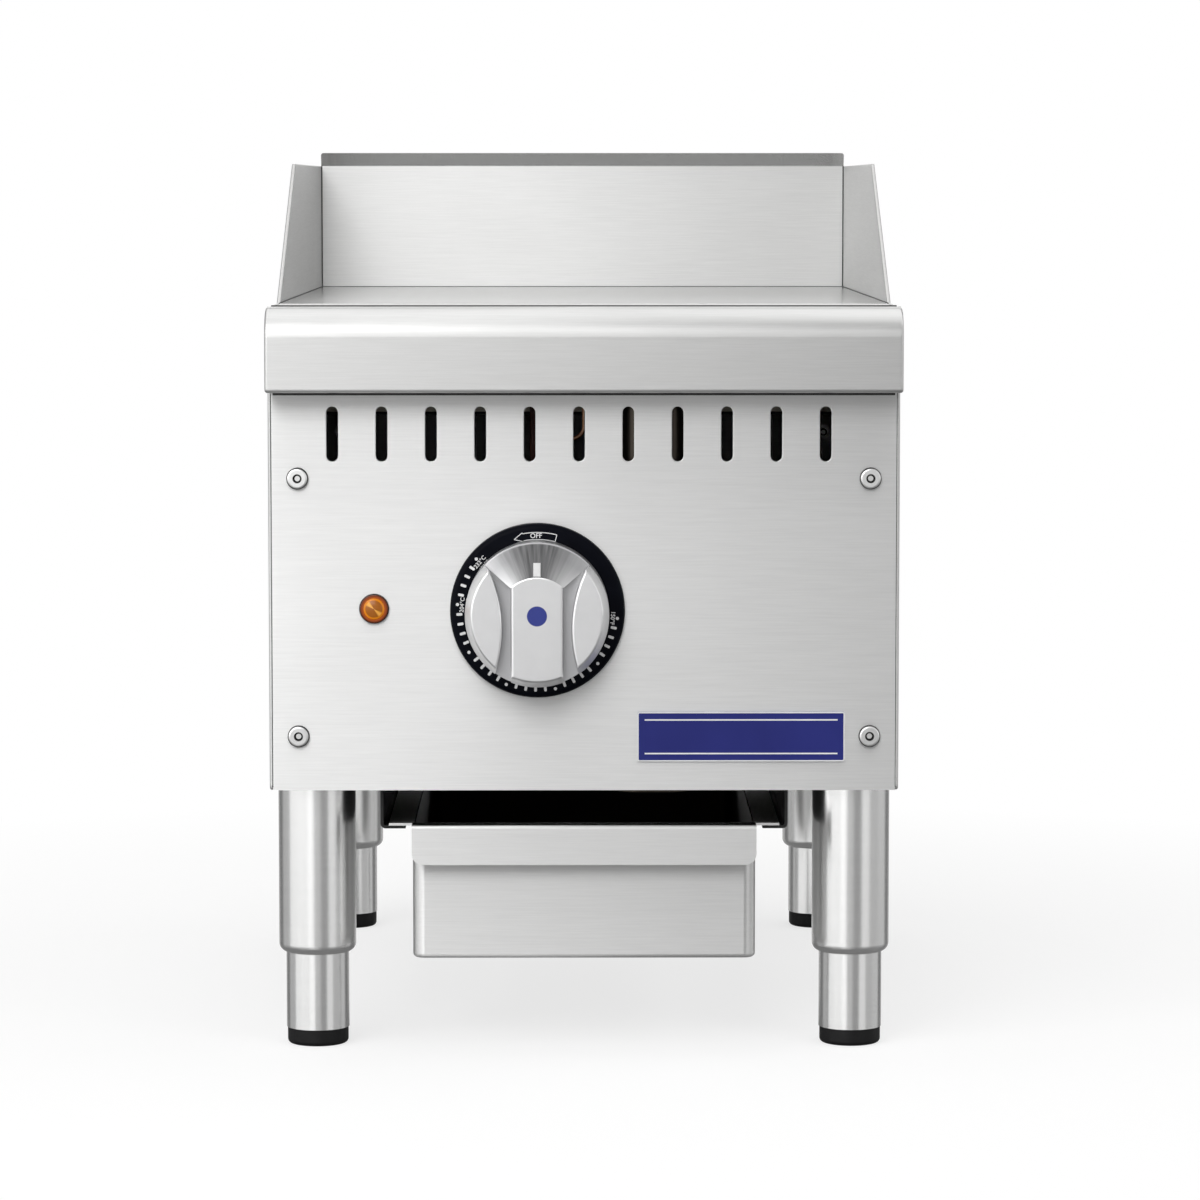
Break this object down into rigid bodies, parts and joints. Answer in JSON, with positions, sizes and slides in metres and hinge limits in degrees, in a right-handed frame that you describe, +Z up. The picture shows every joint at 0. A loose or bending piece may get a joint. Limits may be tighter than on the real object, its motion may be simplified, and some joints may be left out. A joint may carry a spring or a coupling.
{
  "type": "electric countertop griddle",
  "caption": "Electric countertop griddle: steel plate in splash guards, bull-nose front, thermostat knob, pilot lamp, grease drawer on rails, screw feet.",
  "frame": {"origin": "on the floor under the middle of the griddle's box", "axes": "+Z up, front faces -Y, +X to the right as seen from the front"},
  "size_m": [0.305, 0.4954, 0.4409],
  "materials": {
    "stainless": "fine horizontal brushing",
    "plate_steel": "smooth ground plate",
    "drawer_steel": "fine horizontal brushing",
    "rail_steel": "plain sheet",
    "leg_steel": "satin turned tube",
    "foot_steel": "satin turned tube",
    "foot_rubber": "matt moulded",
    "bush_plastic": "moulded",
    "screw_steel": "bright",
    "knob_silver": "silver metallised moulding",
    "dial_black": "satin black with white marks",
    "lamp_rim": "dark amber rim",
    "lamp_amber": "amber lens",
    "badge_blue": "deep blue with a silver border",
    "element_sheath": "heat-toned sheath",
    "ceramic_bead": "unglazed",
    "insulation_fibre": "ceramic fibre blanket",
    "thermostat_plastic": "moulded",
    "copper_tube": "drawn copper",
    "lead_rubber": "silicone sleeve",
    "gland_plastic": "moulded nylon"
  },
  "bodies": {
    "griddle": {"front_nose": "stainless", "front_panel": "stainless", "left_side_panel": "stainless", "right_side_panel": "stainless", "rear_panel": "stainless", "left_guard": "stainless", "right_guard": "stainless", "rear_splash": "stainless", "grease_trough": "stainless", "grease_chute": "stainless", "griddle_plate": "plate_steel", "left_drawer_rail": "rail_steel", "right_drawer_rail": "rail_steel", "bottom_pan": "rail_steel", "insulation_tray": "rail_steel", "front_left_leg": "leg_steel", "front_right_leg": "leg_steel", "rear_left_leg": "leg_steel", "rear_right_leg": "leg_steel", "leg_bushes": "bush_plastic", "front_panel_screws": "screw_steel", "rear_panel_screws": "screw_steel", "panel_nuts": "screw_steel", "rail_screws": "screw_steel", "leg_studs": "screw_steel", "leg_nuts": "screw_steel", "thermostat_screws": "screw_steel", "clamp_studs": "screw_steel", "clamp_nuts": "screw_steel", "element_clamp_bars": "screw_steel", "dial_bezel": "dial_black", "pilot_lamp_body": "lamp_rim", "pilot_lamp_nut": "lamp_rim", "pilot_lamp_lens": "lamp_amber", "badge_plate": "badge_blue", "left_heating_element": "element_sheath", "right_heating_element": "element_sheath", "element_terminals": "ceramic_bead", "insulation_blanket": "insulation_fibre", "thermostat_body": "thermostat_plastic", "terminal_block": "thermostat_plastic", "thermostat_bulb": "copper_tube", "element_leads": "lead_rubber", "lamp_leads": "lead_rubber", "supply_leads": "lead_rubber", "cord_gland": "gland_plastic", "gland_nut": "gland_plastic"},
    "knob": {"control_knob": "knob_silver", "knob_spring_clip": "screw_steel", "thermostat_shaft": "screw_steel"},
    "drawer": {"grease_drawer": "drawer_steel"},
    "front_left_foot": {"front_left_foot_tube": "foot_steel", "front_left_foot_pad": "foot_rubber"},
    "front_right_foot": {"front_right_foot_tube": "foot_steel", "front_right_foot_pad": "foot_rubber"},
    "rear_left_foot": {"rear_left_foot_tube": "foot_steel", "rear_left_foot_pad": "foot_rubber"},
    "rear_right_foot": {"rear_right_foot_tube": "foot_steel", "rear_right_foot_pad": "foot_rubber"}
  },
  "joints": [
    {"name": "knob_turn", "type": "hinge", "parent": "griddle", "child": "knob", "pos_m": [-0.0225, -0.21825, 0.2177], "axis": [0, 1, 0], "range_deg": [0, 310.5]},
    {"name": "drawer_slide", "type": "slide", "parent": "griddle", "child": "drawer", "axis": [0, -1, 0], "range_m": [0, 0.285]},
    {"name": "front_left_foot_screw", "type": "slide", "parent": "griddle", "child": "front_left_foot", "axis": [0, 0, 1], "range_m": [-0.012, 0.028]},
    {"name": "front_right_foot_screw", "type": "slide", "parent": "griddle", "child": "front_right_foot", "axis": [0, 0, 1], "range_m": [-0.012, 0.028]},
    {"name": "rear_left_foot_screw", "type": "slide", "parent": "griddle", "child": "rear_left_foot", "axis": [0, 0, 1], "range_m": [-0.012, 0.028]},
    {"name": "rear_right_foot_screw", "type": "slide", "parent": "griddle", "child": "rear_right_foot", "axis": [0, 0, 1], "range_m": [-0.012, 0.028]}
  ]
}
